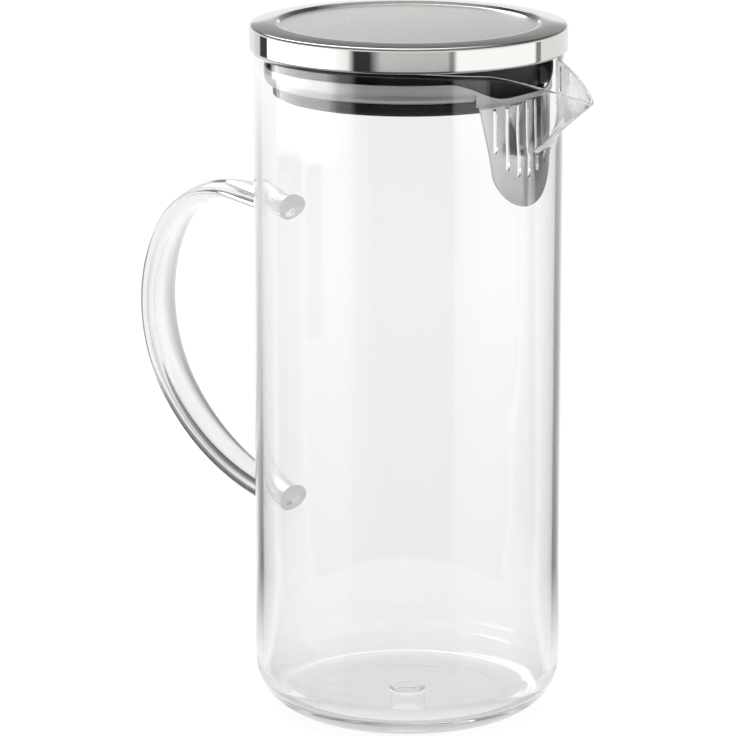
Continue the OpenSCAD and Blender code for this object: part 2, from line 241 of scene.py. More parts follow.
# %% Turn the tumbler
GLASS_R, GLASS_H, GLASS_WALL, GLASS_FLOOR = 52.5, 230.6, 2.6, 5.5
BORE_R = GLASS_R - GLASS_WALL
BASE_R, BASE_STEPS = 18.0, 16
FLOOR_R, FLOOR_STEPS, FLOOR_CREASE = 8.0, 14, 7.0
PUNT_H, PUNT_STEPS = 0.8, 8
NIB_R, NIB_H, NIB_FOOT, NIB_EDGE, NIB_DRAFT = 6.2, 1.2, 0.2, 0.25, 0.4
FLOOR_RINGS = [40.2, 24, 10, NIB_R + 0.8]
RIM_R, RIM_STEPS = GLASS_WALL / 2, 8
RIM_Z = GLASS_H - RIM_R
PULL_Z, PULL_ROWS, UNDER_RIM = 190.0, 20, 0.25
SEGMENTS = 360

wall_rows = [19, 22, 40, 54, 58, 62, 66, 70, 74, 80, 100, 130, 156, 160, 164, 168, 172, 176, 182]
wall_rows += [PULL_Z + (RIM_Z - PULL_Z) * i / PULL_ROWS for i in range(PULL_ROWS)]
wall_rows += [RIM_Z - UNDER_RIM]
flat_r = GLASS_R - BASE_R
section = [(flat_r * i / PUNT_STEPS, PUNT_H * (1 - (i / PUNT_STEPS) ** 2)) for i in range(PUNT_STEPS)]
section += arc((flat_r, BASE_R), BASE_R, -90, 0, BASE_STEPS)
section += [(GLASS_R, z) for z in wall_rows]
section += arc((GLASS_R - RIM_R, RIM_Z), RIM_R, 0, 180, RIM_STEPS)
section += [(BORE_R, z) for z in reversed(wall_rows)]
section += arc((BORE_R - FLOOR_R, GLASS_FLOOR + FLOOR_R), FLOOR_R, 0, FLOOR_CREASE - 90, FLOOR_STEPS)
section += [(r, GLASS_FLOOR) for r in FLOOR_RINGS]
section += arc((NIB_R + NIB_FOOT, GLASS_FLOOR + NIB_FOOT), NIB_FOOT, -90, -160, 3)
section += arc((NIB_R - NIB_DRAFT, GLASS_FLOOR + NIB_H - NIB_EDGE), NIB_EDGE, 20, 90, 3)
section += [(NIB_R / 2, GLASS_FLOOR + NIB_H), (0, GLASS_FLOOR + NIB_H)]
vessel = spin_section(section, SEGMENTS)
print("tumbler:", len(section), "points in the section,", len(vessel.verts), "vertices")

# %% [markdown]
# ## The pulled spout
# The spout's keel is a straight line from the wall up to the tip, and the rim dips towards the tip. Across
# the spout the pull falls off from its middle as a V with soft feet. These rules are those of the CAD model,
# so both have one outer form. The inner wall lies at a depth under it that is measured square to the wall,
# because a depth towards the axis would leave the steep flanks of the V too thin.

# %% Rules of the pull
SPOUT_REACH, SPOUT_DEPTH, SPOUT_DROP, SPOUT_HALF = 22.3, 29.9, 11.7, 29.0
SPOUT_PINCH, TIP_ROUND, SPOUT_SINK, CREASE = 1.6, 0.8, 1.3, 1.1
KEEL_ROOT, KEEL_RUN, KEEL_BLEND = GLASS_H - SPOUT_DEPTH, SPOUT_DEPTH - SPOUT_DROP, 2
DIP_X, TIP_X, DIP_POWER, DIP_ROUNDS = GLASS_R - 32.0, GLASS_R + SPOUT_REACH, 2.4, 40
SLOPE_STEP = 0.2


def smooth_step(x):
    """0 below 0, 1 above 1 and a smooth ramp between."""
    t = min(1.0, max(0.0, x))
    return t * t * (3 - 2 * t)


def pinch_angle(angle):
    """Angle from the spout's middle in degrees, rounded off at the tip."""
    return math.hypot(angle, TIP_ROUND) - TIP_ROUND


def pull_share(angle):
    """Share of the full pull at an angle in degrees: a V with soft feet."""
    return max(0.0, 1 - pinch_angle(angle) / pinch_angle(SPOUT_HALF)) ** SPOUT_PINCH


def soft_rise(rise):
    """A rise in mm, with the crease where it leaves the wall rounded off."""
    return (rise + math.hypot(rise, CREASE)) / 2 - (math.hypot(SPOUT_SINK, CREASE) - SPOUT_SINK) / 2


def outer_radius(angle, z):
    """Radius of the outer wall in mm, pulled into the spout at an angle in degrees and a height."""
    reach = SPOUT_REACH * min(1.0, max(0.0, (z - KEEL_ROOT) / KEEL_RUN))
    swell = soft_rise((reach + SPOUT_SINK) * pull_share(angle) - SPOUT_SINK)
    return GLASS_R + swell * smooth_step((z - PULL_Z) / (KEEL_ROOT - PULL_Z + KEEL_BLEND))


def wall_point(angle, z, depth):
    """A point (x, y) in mm at a depth under the outer wall, square to the wall in its level slice."""
    r = outer_radius(angle, z)
    rise = outer_radius(angle + SLOPE_STEP, z) - outer_radius(angle - SLOPE_STEP, z)
    slope = rise / math.radians(2 * SLOPE_STEP)
    along, across = math.cos(math.radians(angle)), math.sin(math.radians(angle))
    tangent = Vector((slope * along - r * across, slope * across + r * along)).normalized()
    return r * along - depth * tangent.y, r * across + depth * tangent.x


def rim_height(angle):
    """Height of the rim in mm where it dips into the spout, found in rounds since it depends on itself."""
    z = GLASS_H
    for _ in range(DIP_ROUNDS):
        x = outer_radius(angle, z) * math.cos(math.radians(angle))
        z = GLASS_H - SPOUT_DROP * max(0.0, (x - DIP_X) / (TIP_X - DIP_X)) ** DIP_POWER
    return z


print("the spout reaches", round(outer_radius(0, rim_height(0)), 1), "mm from the axis")

# %% [markdown]
# ## Pulling the rim
# Every vertex above the start of the pull moves. The rows are first squeezed under the dipping rim, and each
# vertex then keeps its depth in the wall. The glass is thinner at the lip, where it was drawn out, and the
# rim stays fire-polished all the way round, so the rows of its round keep their shape and only shrink.

# %% Pull the spout
LIP_THINNING, LIP_SPREAD, ON_RIM = 0.55, 3, 0.001

rims = {}
for v in vessel.verts:
    x, y, z = v.co / MM
    if z <= PULL_Z:
        continue
    plain_r, angle = math.hypot(x, y), math.degrees(math.atan2(y, x))
    key = round(angle, 3)
    if key not in rims:
        rims[key] = rim_height(angle)
    slim = 1 - LIP_THINNING * smooth_step(LIP_SPREAD * pull_share(angle))
    low = rims[key] - RIM_R * slim
    if z >= RIM_Z - ON_RIM:
        x, y = wall_point(angle, low, (GLASS_R - plain_r) * slim)
        z = low + (z - RIM_Z) * slim
    else:
        z = PULL_Z + (z - PULL_Z) * (low - PULL_Z) / (RIM_Z - PULL_Z)
        drawn = 1 - (1 - slim) * smooth_step((z - KEEL_ROOT) / (low - KEEL_ROOT))
        x, y = wall_point(angle, z, (GLASS_R - plain_r) * drawn)
    v.co = Vector((x, y, z)) * MM
bmesh.ops.recalc_face_normals(vessel, faces=vessel.faces)
print("lowest rim:", round(min(rims.values()), 1), "mm, at the tip of the spout")

# %% [markdown]
# ## The strap handle's path
# The handle is a flat oval bar of glass that leaves the wall with a short straight and is bent in three arcs
# back to the wall. The path is a list of stations, each a point and a direction. Stations that have come too
# close to the wall again are dropped, because the last ring goes into the wall itself.

# %% Bend the path
HANDLE_TOP, HANDLE_RISE, HANDLE_STRAIGHT, STRAIGHT_STEPS = 169.8, 10.2, 17.4, 8
# Each bend: radius, turn in degrees, steps.
BENDS = [(30.7, 72.6, 20), (57.8, 61.3, 22), (77.4, 60.0, 40)]
BURY_R, BURY_CLEAR, UPPER_STATIONS = GLASS_R - RIM_R, 0.5, 30


def side_of(aim):
    """Unit vector (r, z) to the right of a direction in degrees."""
    return Vector((math.sin(math.radians(aim)), -math.cos(math.radians(aim))))


ahead = Vector((math.cos(math.radians(HANDLE_RISE)), math.sin(math.radians(HANDLE_RISE))))
begin = Vector((GLASS_R, HANDLE_TOP))
stations = [(begin + ahead * (HANDLE_STRAIGHT * i / STRAIGHT_STEPS if i else -RIM_R), HANDLE_RISE)
            for i in range(STRAIGHT_STEPS)]
place, aim = begin + ahead * HANDLE_STRAIGHT, HANDLE_RISE
for bend_r, bend_angle, steps in BENDS:
    middle = place + bend_r * side_of(aim)
    for i in range(steps):
        turned = aim - bend_angle * i / steps
        stations.append((middle - bend_r * side_of(turned), turned))
    aim -= bend_angle
    place = middle - bend_r * side_of(aim)
stations = [s for i, s in enumerate(stations) if i < UPPER_STATIONS or s[0].x > BURY_R + BURY_CLEAR]
print("strap:", len(stations), "stations, lower root at", round(stations[-1][0].y, 1), "mm")

# %% [markdown]
# ## The strap itself
# The hot glass gathers at both ends into a root, which is thicker than the strap and slightly narrower. A
# ring of the oval section is extruded along the path, and at each station it takes the width and thickness
# that the strap has there. Both end rings lie inside the wall's thickness, so that a Boolean union can fuse
# the two.

# %% Extrude the strap
STRAP_W, STRAP_T, STRAP_SIDES = 18.0, 6.4, 40
ROOT_W, ROOT_H, ROOT_REACH = 16.6, 9.0, 9.0


def station_frame(point, aim):
    """The matrix that puts a unit ring at a station, as wide and thick as the strap is there."""
    gather = min(1.0, max(0.0, 1 - (point.x - GLASS_R) / ROOT_REACH)) ** 2
    thick = (STRAP_T + (ROOT_H - STRAP_T) * gather) / 2 * MM
    wide = (STRAP_W + (ROOT_W - STRAP_W) * gather) / 2 * MM
    side = side_of(aim)
    return Matrix(((-side.x * thick, 0, 0, -point.x * MM), (0, wide, 0, 0),
                   (side.y * thick, 0, 1, point.y * MM), (0, 0, 0, 1)))


strap = bmesh.new()
ring = bmesh.ops.create_circle(strap, segments=STRAP_SIDES, radius=1.0)["verts"]
before = station_frame(*stations[0])
for v in ring:
    v.co = before @ v.co
first_ring = ring
edges = list(strap.edges)
for station in stations[1:]:
    grown = bmesh.ops.extrude_edge_only(strap, edges=edges)["geom"]
    ring = [g for g in grown if isinstance(g, bmesh.types.BMVert)]
    edges = [g for g in grown if isinstance(g, bmesh.types.BMEdge) and all(v in ring for v in g.verts)]
    after = station_frame(*station)
    back = before.inverted()
    for v in ring:
        v.co = after @ (back @ v.co)
    before = after
for v in first_ring + ring:
    v.co.x = -math.sqrt((BURY_R * MM) ** 2 - v.co.y ** 2)
bmesh.ops.holes_fill(strap, edges=[e for e in strap.edges if e.is_boundary], sides=0)
bmesh.ops.recalc_face_normals(strap, faces=strap.faces)
print("strap:", len(strap.faces), "faces between its two roots")

# %% [markdown]
# ## Finished pieces
# A bmesh becomes an object at the origin, with its place in its mesh. It is shaded smooth except at sharp
# edges. A second function says which body the piece moves with, and hides the CAD nodes that it stands for.

# %% Objects and what they stand for
SHARP = math.radians(38)


def make_object(name, bm, materials):
    """A mesh object at the origin, smooth but for its sharp edges."""
    mesh = bpy.data.meshes.new(name)
    bm.to_mesh(mesh)
    bm.free()
    for material in materials:
        mesh.materials.append(material)
    mesh.shade_smooth()
    mesh.set_sharp_from_angle(angle=SHARP)
    piece = bpy.data.objects.new(name, mesh)
    bpy.context.scene.collection.objects.link(piece)
    return piece


def dress(piece, body, slot, *nodes):
    """Lets a piece ride on a body and hides the CAD nodes that it stands for; the slot is not used."""
    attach(piece, body)
    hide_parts(*nodes)
    print(piece.name, "stands for", nodes, "with", len(piece.data.polygons), "faces")


print("edges over", round(math.degrees(SHARP)), "degrees stay sharp")

# %% [markdown]
# ## Fusing the glass
# A jug's handle is welded on in the flame, so there is no surface left between the two: light passes from
# one to the other. Two touching meshes would bend it twice, so a Boolean union makes them one closed skin.
# Clear glass hardly shades what is near it, but Cycles would shade it like a solid, so the jug casts no
# shadow.

# %% Fuse vessel and handle
glass_jug = make_object("glass_jug", vessel, [glass])
strap_tool = make_object("strap_tool", strap, [glass])
fuse = glass_jug.modifiers.new("fuse", "BOOLEAN")
fuse.operation, fuse.solver, fuse.object = "UNION", "EXACT", strap_tool
fused = bpy.data.meshes.new_from_object(glass_jug.evaluated_get(bpy.context.evaluated_depsgraph_get()))
glass_jug.modifiers.clear()
glass_jug.data = fused
bpy.data.objects.remove(strap_tool)
fused.shade_smooth()
fused.set_sharp_from_angle(angle=SHARP)
glass_jug.visible_shadow = False
dress(glass_jug, "jug", "clear_glass", "glass_vessel", "glass_handle")

# %% [markdown]
# ## The cap
# The cap is one pressed sheet: a skirt with a rolled lower edge, a rounded upper edge, a border that falls
# slightly outwards and a shallow recess that is domed by less than a millimetre, as pressed sheet is. The
# slopes are small, but a mirror shows them. The whole outside is polished, and only the floor of the recess
# has the satin finish, so its faces take a second material.

# %% Spin the cap
CAP_R, CAP_LOW, CAP_TOP, CAP_SHEET = 53.8, 230.4, 239.5, 0.8
CAP_TOP_R, CAP_LOW_R, CAP_CROWN, CROWN_STEPS = 0.9, 0.7, 0.6, 12
RECESS_R, RECESS_DEPTH, RECESS_RUN, RECESS_EDGE = 43.7, 1.05, 0.95, 0.3
DOME_H, DOME_POWER, DOME_STEP, DOME_END, DOME_FOOT = 0.7, 2.5, 3, 0.8, 0.02
TOP_LOOP, LOW_LOOP = 0.3, 0.2
LID_SEGMENTS = 256

recess_z = CAP_TOP - RECESS_DEPTH
border_in, border_out = RECESS_R + RECESS_RUN, CAP_R - CAP_TOP_R
border_w, skirt_top = border_out - border_in, CAP_TOP - CAP_CROWN - CAP_TOP_R
inside_r, inside_z = CAP_R - CAP_SHEET, recess_z - CAP_SHEET
section = [(r, recess_z + DOME_H * (1 - (r / RECESS_R) ** DOME_POWER))
           for r in range(0, int(RECESS_R), DOME_STEP)]
section += [(RECESS_R - DOME_END, recess_z + DOME_FOOT)]
section += arc((RECESS_R - RECESS_EDGE, recess_z + RECESS_EDGE), RECESS_EDGE, -90, -45, 4)
section += arc((border_in, CAP_TOP - RECESS_EDGE), RECESS_EDGE, 135, 90, 4)
crown_steps = [border_in + border_w * i / CROWN_STEPS for i in range(1, CROWN_STEPS + 1)]
section += [(r, CAP_TOP - CAP_CROWN * ((r - border_in) / border_w) ** 2) for r in crown_steps]
section += arc((border_out, skirt_top), CAP_TOP_R, 80, 0, 8)
section += [(CAP_R, skirt_top - TOP_LOOP), (CAP_R, CAP_LOW + CAP_LOW_R + LOW_LOOP)]
section += arc((CAP_R - CAP_LOW_R, CAP_LOW + CAP_LOW_R), CAP_LOW_R, 0, -90, 6)
section += [(inside_r, CAP_LOW + LOW_LOOP), (inside_r, inside_z), (0, inside_z)]
cap = spin_section(section, LID_SEGMENTS)
for face in cap.faces:
    middle = face.calc_center_median() / MM
    in_recess = math.hypot(middle.x, middle.y) < RECESS_R - RECESS_EDGE
    face.material_index = int(in_recess and middle.z > (recess_z + inside_z) / 2)
lid_cap = make_object("lid_cap_polished", cap, [polished_steel, satin_steel])
dress(lid_cap, "lid", "polished_steel", "lid_cap")

# %% [markdown]
# ## The core and its ring
# The core closes the cap from below and carries the round neck that hangs into the mouth. Its moulded
# corners are never razor sharp, so every sharp edge gets a small bevel. The silicone ring sits in a groove
# round the neck and has two beads, drawn as two arcs that meet in a waist.

# %% Spin the core and the ring
NECK_R, NECK_LOW, NECK_WALL = 44.3, 215.0, 2.4
GROOVE_R, GROOVE_LOW, GROOVE_TOP = 43.8, 215.3, 219.2
CORE_R, CORE_LOW, CORE_TOP, HOLLOW_TOP = 52.95, 230.9, 237.7, 234.7
CORE_CLEAR, MOULD_EDGE, MOULD_SHARP = 0.05, 0.14, 60

top_z, hollow_r = CORE_TOP - CORE_CLEAR, NECK_R - NECK_WALL
section = [(0, top_z), (CORE_R, top_z), (CORE_R, CORE_LOW), (NECK_R, CORE_LOW),
           (NECK_R, GROOVE_TOP), (GROOVE_R, GROOVE_TOP), (GROOVE_R, GROOVE_LOW), (NECK_R, GROOVE_LOW),
           (NECK_R, NECK_LOW), (hollow_r, NECK_LOW), (hollow_r, HOLLOW_TOP), (0, HOLLOW_TOP)]
core = spin_section(section, LID_SEGMENTS)
sharp = [e for e in core.edges if e.is_manifold and e.calc_face_angle() > math.radians(MOULD_SHARP)]
bmesh.ops.bevel(core, geom=sharp, offset=MOULD_EDGE * MM, offset_type="OFFSET", segments=2, profile=0.5,
                affect="EDGES", material=-1, clamp_overlap=True)
lid_core = make_object("lid_core_moulded", core, [moulded_abs])
dress(lid_core, "lid", "dark_plastic", "lid_core")

RING_BORE, RING_LOW, RING_TOP = 43.9, 215.6, 218.9
BEAD_R, BEAD_LINE, BEAD_STEPS = 0.95, 44.95, 8
waist = math.degrees(math.asin((RING_TOP - RING_LOW - 2 * BEAD_R) / 2 / BEAD_R))
section = [(RING_BORE, RING_LOW)]
section += arc((BEAD_LINE, RING_LOW + BEAD_R), BEAD_R, -90, waist, BEAD_STEPS)
section += arc((BEAD_LINE, RING_TOP - BEAD_R), BEAD_R, -waist, 90, BEAD_STEPS)
section += [(RING_BORE, RING_TOP), (RING_BORE, RING_LOW)]
bead_ring = make_object("retaining_ring_beads", spin_section(section, LID_SEGMENTS), [silicone])
dress(bead_ring, "ring", "dark_rubber", "retaining_ring")

# %% [markdown]
# ## The collar
# The collar is a thin pressed dish, open towards the spout, where the strainer's plate closes it. So it is
# one open sheet, spun over most of a turn. Its upper edge sinks in an S-curve towards the gap, which is the
# side of the pour notch. A Solidify modifier gives the sheet its thickness, and a small bevel its edges.
# The bevel's normals are hardened, because smooth ones would bend the reflections on the flat sheet.

# %% Spin the collar
COLLAR_MID, COLLAR_SHEET, COLLAR_TOP, COLLAR_EDGE = 48.4, 0.8, 226.0, 0.15
COLLAR_SEGMENTS, BAND_ROWS, NECK_CLEAR = 220, 6, 0.05
DISH_LOW, DISH_R, DISH_STEPS = 219.6, 3.2, 10
PLATE_HALF_Y, PLATE_LOW = 22.9, 217.9
GAP_ANGLE = math.degrees(math.asin(PLATE_HALF_Y / (COLLAR_MID + COLLAR_SHEET / 2)))
NOTCH_TOP_Y, NOTCH_FLOOR_Y, NOTCH_LOW, NOTCH_CREST = 33.0, 11.0, 219.6, 226.3
SHEET_SHARP = math.radians(50)


def notch_edge(y):
    """Height of the collar's upper edge in mm, at a distance from the middle of the notch."""
    share = min(1.0, max(0.0, (abs(y) - NOTCH_FLOOR_Y) / (NOTCH_TOP_Y - NOTCH_FLOOR_Y)))
    return min(COLLAR_TOP, NOTCH_CREST - (NOTCH_CREST - NOTCH_LOW) * (1 + math.cos(math.pi * share)) / 2)


def sheet_metal(piece, thickness, edge):
    """Gives an open sheet its thickness about its middle, with a small round on its edges."""
    wall = piece.modifiers.new("sheet", "SOLIDIFY")
    wall.thickness, wall.offset, wall.use_even_offset = thickness * MM, 0.0, True
    rounds = piece.modifiers.new("rounds", "BEVEL")
    rounds.width, rounds.segments, rounds.limit_method = edge * MM, 2, "ANGLE"
    rounds.angle_limit, rounds.harden_normals = SHEET_SHARP, True


band_low = DISH_LOW + DISH_R
band_h = COLLAR_TOP - band_low
section = [(NECK_R + NECK_CLEAR, DISH_LOW)]
section += arc((COLLAR_MID - DISH_R, band_low), DISH_R, -90, 0, DISH_STEPS)
section += [(COLLAR_MID, band_low + band_h * i / BAND_ROWS) for i in range(1, BAND_ROWS + 1)]
collar = spin_section(section, COLLAR_SEGMENTS, GAP_ANGLE, 360 - GAP_ANGLE)
for v in collar.verts:
    x, y, z = v.co / MM
    if x > 0 and z > band_low:
        v.co.z = (band_low + (z - band_low) * (notch_edge(y) - band_low) / band_h) * MM
pour_collar = make_object("pour_collar_sheet", collar, [pressed_steel])
sheet_metal(pour_collar, COLLAR_SHEET, COLLAR_EDGE)
dress(pour_collar, "lid", "satin_steel", "pour_collar")

# %% [markdown]
# ## The strainer's layout
# The strainer is a curved plate with a slotted tongue, blanked flat and then rolled. On the flat, its
# columns run along the slots: seven lines over each slot, so that the slot's ends come out round, two in the
# web between slots and a few out to each side. Each line is an angle in degrees, a step aside in millimetres
# and the slot that it belongs to.

# %% Lay out the strainer
TONGUE_LOW, TONGUE_END_R, TONGUE_HALF_Y, TONGUE_LAP = 181.9, 17.0, 21.5, 1.2
SLOT_COUNT, SLOT_R, SLOT_PITCH = 7, 0.8, 6.27
STRAINER_MID, WEB_HALF, SIDE_LINES = 47.85, 0.5, 8

tongue_end = TONGUE_LOW + TONGUE_END_R


def tongue_edge(y):
    """Height of the tongue's outline in mm, at a distance from its middle."""
    y = abs(y)
    if y <= TONGUE_END_R:
        return tongue_end - math.sqrt(TONGUE_END_R ** 2 - y * y)
    run = (y - TONGUE_END_R) / (TONGUE_HALF_Y - TONGUE_END_R)
    return min(PLATE_LOW, tongue_end + run * (PLATE_LOW + TONGUE_LAP - tongue_end))


half_slots = (SLOT_COUNT - 1) // 2
lines = []
for i in range(-half_slots, half_slots + 1):
    lines += [(i * SLOT_PITCH, SLOT_R * math.sin(math.radians(a)), i) for a in range(-90, 91, 30)]
    if i < half_slots:
        lines += [((i + 0.5) * SLOT_PITCH, d, None) for d in (-WEB_HALF, WEB_HALF)]
first = half_slots * SLOT_PITCH + math.degrees(SLOT_R / STRAINER_MID)
outer = [first + (GAP_ANGLE - first) * i / SIDE_LINES for i in range(1, SIDE_LINES + 1)]
lines = [(-a, 0.0, None) for a in reversed(outer)] + lines + [(a, 0.0, None) for a in outer]
print("strainer:", len(lines), "lines for", SLOT_COUNT, "slots")

# %% [markdown]
# ## The strainer itself
# A grid is laid over those lines. Its rows follow the tongue's rounded end, the slots and the notch, and each
# vertex goes straight to its place on the rolled sheet. The sheet steps out by half a millimetre where the
# tongue meets the plate. The faces in the slots are then deleted, and the plate takes the collar's finish.

# %% Slot and bend the strainer
SLOT_MARGIN, SLOT_TOP, SLOT_LEAST = 9.8, 216.7, 0.6
LOW_ROWS, SLOT_ROWS, PLATE_ROWS = 6, 10, 8
STRAINER_SHEET, STRAINER_EDGE, JOGGLE, SLIVER = 0.6, 0.12, 1.4, 0.01

rows = LOW_ROWS + SLOT_ROWS + PLATE_ROWS
plate = bmesh.new()
bmesh.ops.create_grid(plate, x_segments=len(lines) - 1, y_segments=rows, size=1.0)
in_slot = {}
for v in plate.verts:
    column = round((v.co.x + 1) / 2 * (len(lines) - 1))
    row = round((v.co.y + 1) / 2 * rows)
    centre, aside, slot_index = lines[column]
    angle = centre + math.degrees(aside / STRAINER_MID)
    slot_y = STRAINER_MID * math.sin(math.radians(centre if slot_index is not None else angle))
    y = STRAINER_MID * math.sin(math.radians(angle))
    low, top = tongue_edge(y), notch_edge(y)
    slot_top = max(SLOT_TOP, low)
    slot_low = min(tongue_edge(slot_y) + SLOT_MARGIN, low + SLOT_LEAST * (slot_top - low))
    if slot_index is not None:
        bow = SLOT_R - math.sqrt(max(0.0, SLOT_R ** 2 - aside ** 2))
        slot_low, slot_top = slot_low + bow, slot_top - bow
    if row <= LOW_ROWS:
        z = low + (slot_low - low) * row / LOW_ROWS
    elif row <= LOW_ROWS + SLOT_ROWS:
        z = slot_low + (slot_top - slot_low) * (row - LOW_ROWS) / SLOT_ROWS
    else:
        z = slot_top + (top - slot_top) * (row - LOW_ROWS - SLOT_ROWS) / PLATE_ROWS
    in_slot[v] = slot_index if LOW_ROWS <= row <= LOW_ROWS + SLOT_ROWS else None
    r = STRAINER_MID + (COLLAR_MID - STRAINER_MID) * smooth_step((z - PLATE_LOW + JOGGLE / 2) / JOGGLE)
    v.co = Vector((r * math.cos(math.radians(angle)), r * math.sin(math.radians(angle)), z)) * MM
slots = [f for f in plate.faces
         if len({in_slot[v] for v in f.verts}) == 1 and in_slot[f.verts[0]] is not None]
bmesh.ops.delete(plate, geom=slots, context="FACES")
bmesh.ops.dissolve_degenerate(plate, dist=SLIVER * MM, edges=plate.edges)
bmesh.ops.recalc_face_normals(plate, faces=plate.faces)
for f in plate.faces:
    f.material_index = int(f.calc_center_median().z > PLATE_LOW * MM)
strainer = make_object("strainer_tongue", plate, [blanked_steel, pressed_steel])
sheet_metal(strainer, STRAINER_SHEET, STRAINER_EDGE)
dress(strainer, "lid", "satin_steel", "strainer")

# %% [markdown]
# ## Floor
# The jug stands on white paper. Seen directly, in a reflection or through glass, most of its light is its
# own, so that it stays white, and the rest is lit as paper is, which keeps shadows on it. Seen through glass
# or in steel, the paper's own light has a painted shade, a little darker near the jug, which stands in the
# lamps' way, and a painted pool of light under the base, where the jug's clear floor would gather the light.

# %% Lay the floor
OWN_LIGHT, PAPER_LEVEL, PAPER_COLOUR = 0.75, 1.04, "#F6F6F6"
SHADE_NEAR, SHADE_AWAY, SHADE_LOW, SHADE_HIGH = 60.0, 700.0, 0.80, 0.90
PAINTED_POOL_FROM, PAINTED_POOL_TO, PAINTED_POOL_LEVEL = 46.0, 54.0, 1.05
FLOOR_HALF, FLOOR_SINK = 6000.0, 0.1

# Uncoated paper gives the eye a plain white with no shine.
paper, tree, out = new_material("white_paper")
path = add(tree, "ShaderNodeLightPath")
seen = add(tree, "ShaderNodeMath", {0: path.outputs["Is Camera Ray"], 1: path.outputs["Is Glossy Ray"]},
           operation="ADD")
seen = add(tree, "ShaderNodeMath", {0: seen.outputs[0], 1: path.outputs["Is Transmission Ray"]},
           operation="ADD", use_clamp=True)
seen = add(tree, "ShaderNodeMath", {0: seen.outputs[0], 1: OWN_LIGHT}, operation="MULTIPLY")
lit = add(tree, "ShaderNodeBsdfDiffuse", {"Color": linear(PAPER_COLOUR)})
where = add(tree, "ShaderNodeTexCoord")
away = add(tree, "ShaderNodeVectorMath", {0: where.outputs["Object"]}, operation="LENGTH")
# Painted shade: seen through glass or in steel, the paper's own light is darker near the jug than far away.
painted_light_and_shade = add(tree, "ShaderNodeMapRange", {
    "Value": away.outputs["Value"], "From Min": SHADE_NEAR * MM, "From Max": SHADE_AWAY * MM,
    "To Min": SHADE_LOW, "To Max": SHADE_HIGH})
# Painted light: a brighter pool of the paper's own light under the base, where the clear glass would gather
# it.
painted_light_and_shade = add(tree, "ShaderNodeMapRange", {
    "Value": away.outputs["Value"], "From Min": PAINTED_POOL_FROM * MM, "From Max": PAINTED_POOL_TO * MM,
    "To Min": PAINTED_POOL_LEVEL, "To Max": painted_light_and_shade.outputs["Result"]})
level = add(tree, "ShaderNodeMath", {0: path.outputs["Is Camera Ray"], 1: PAPER_LEVEL},
            operation="MULTIPLY")
level = add(tree, "ShaderNodeMath", {0: level.outputs[0], 1: painted_light_and_shade.outputs["Result"]},
            operation="MAXIMUM")
own = add(tree, "ShaderNodeEmission", {"Color": (1, 1, 1, 1), "Strength": level.outputs[0]})
mix = add(tree, "ShaderNodeMixShader", {
    0: seen.outputs[0], 1: lit.outputs["BSDF"], 2: own.outputs["Emission"]})
tree.links.new(mix.outputs[0], out.inputs["Surface"])

sheet = bmesh.new()
bmesh.ops.create_grid(sheet, x_segments=1, y_segments=1, size=FLOOR_HALF * MM)
bmesh.ops.translate(sheet, verts=sheet.verts, vec=(0, 0, -FLOOR_SINK * MM))
floor = make_object("floor", sheet, [paper])
floor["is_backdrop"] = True
print("floor:", [round(side, 1) for side in floor.dimensions[:2]], "m of paper")

# %% [markdown]
# ## Camera
# The camera's place, pitch and focal length were fitted to the ellipses of the rim, the lid and the base. It
# stands 1.6 m away with a long lens, so that the jug's sides stay almost parallel. The jug's axis lies to
# the right of the picture's middle, so the camera aims a little to its left and needs no shift.

# %% Set up the camera
CAMERA_ANGLE, CAMERA_AWAY, CAMERA_HIGH = -54.7, 1559.4, 491.1
CAMERA_PITCH, FOCUS_PX, FRAME_PX, AXIS_PX = 0.234, 4678.6, 736, 408.0
SENSOR_MM = 36.0

facing = math.radians(CAMERA_ANGLE)
to_camera = Vector((math.cos(facing), math.sin(facing), 0))
to_right = Vector((-math.sin(facing), math.cos(facing), 0))
camera = bpy.data.objects.new("camera", bpy.data.cameras.new("camera"))
bpy.context.scene.collection.objects.link(camera)
camera.location = to_camera * (CAMERA_AWAY * MM) + Vector((0, 0, CAMERA_HIGH * MM))
aim_away = CAMERA_AWAY * MM / math.cos(CAMERA_PITCH)
aim_at = Vector((0, 0, (CAMERA_HIGH - CAMERA_AWAY * math.tan(CAMERA_PITCH)) * MM))
aim_at -= to_right * aim_away * (AXIS_PX - FRAME_PX / 2) / FOCUS_PX
camera.rotation_mode = "QUATERNION"
camera.rotation_quaternion = (aim_at - camera.location).to_track_quat("-Z", "Y")
camera.data.sensor_width = SENSOR_MM
camera.data.lens = FOCUS_PX / FRAME_PX * SENSOR_MM
bpy.context.scene.camera = camera
print("camera:", round(camera.data.lens), "mm lens at", round(camera.location.length, 2), "m")

# %% [markdown]
# ## Light for glass and steel
# A product photographer lights glass and steel with what they mirror, so pale and dark surfaces stand round
# the jug. Each is a section spun part of the way round, and gives light alone. One function makes them all,
# and its emission can follow the azimuth from the camera's side, the radius and the height. Light Path
# decides which rays see them: those that were mirrored, and for the cards also those that were bent at the
# edge of the glass. A ray with four passes through the skin of the glass came straight through the jug, and
# would show a card as a block in it. Rays that were bent very often leave all of these out, because they
# would only make spots.

# %% One function for the stage's lights
DEEP_RAY = 7.5
STAGE_SEGMENTS = 96


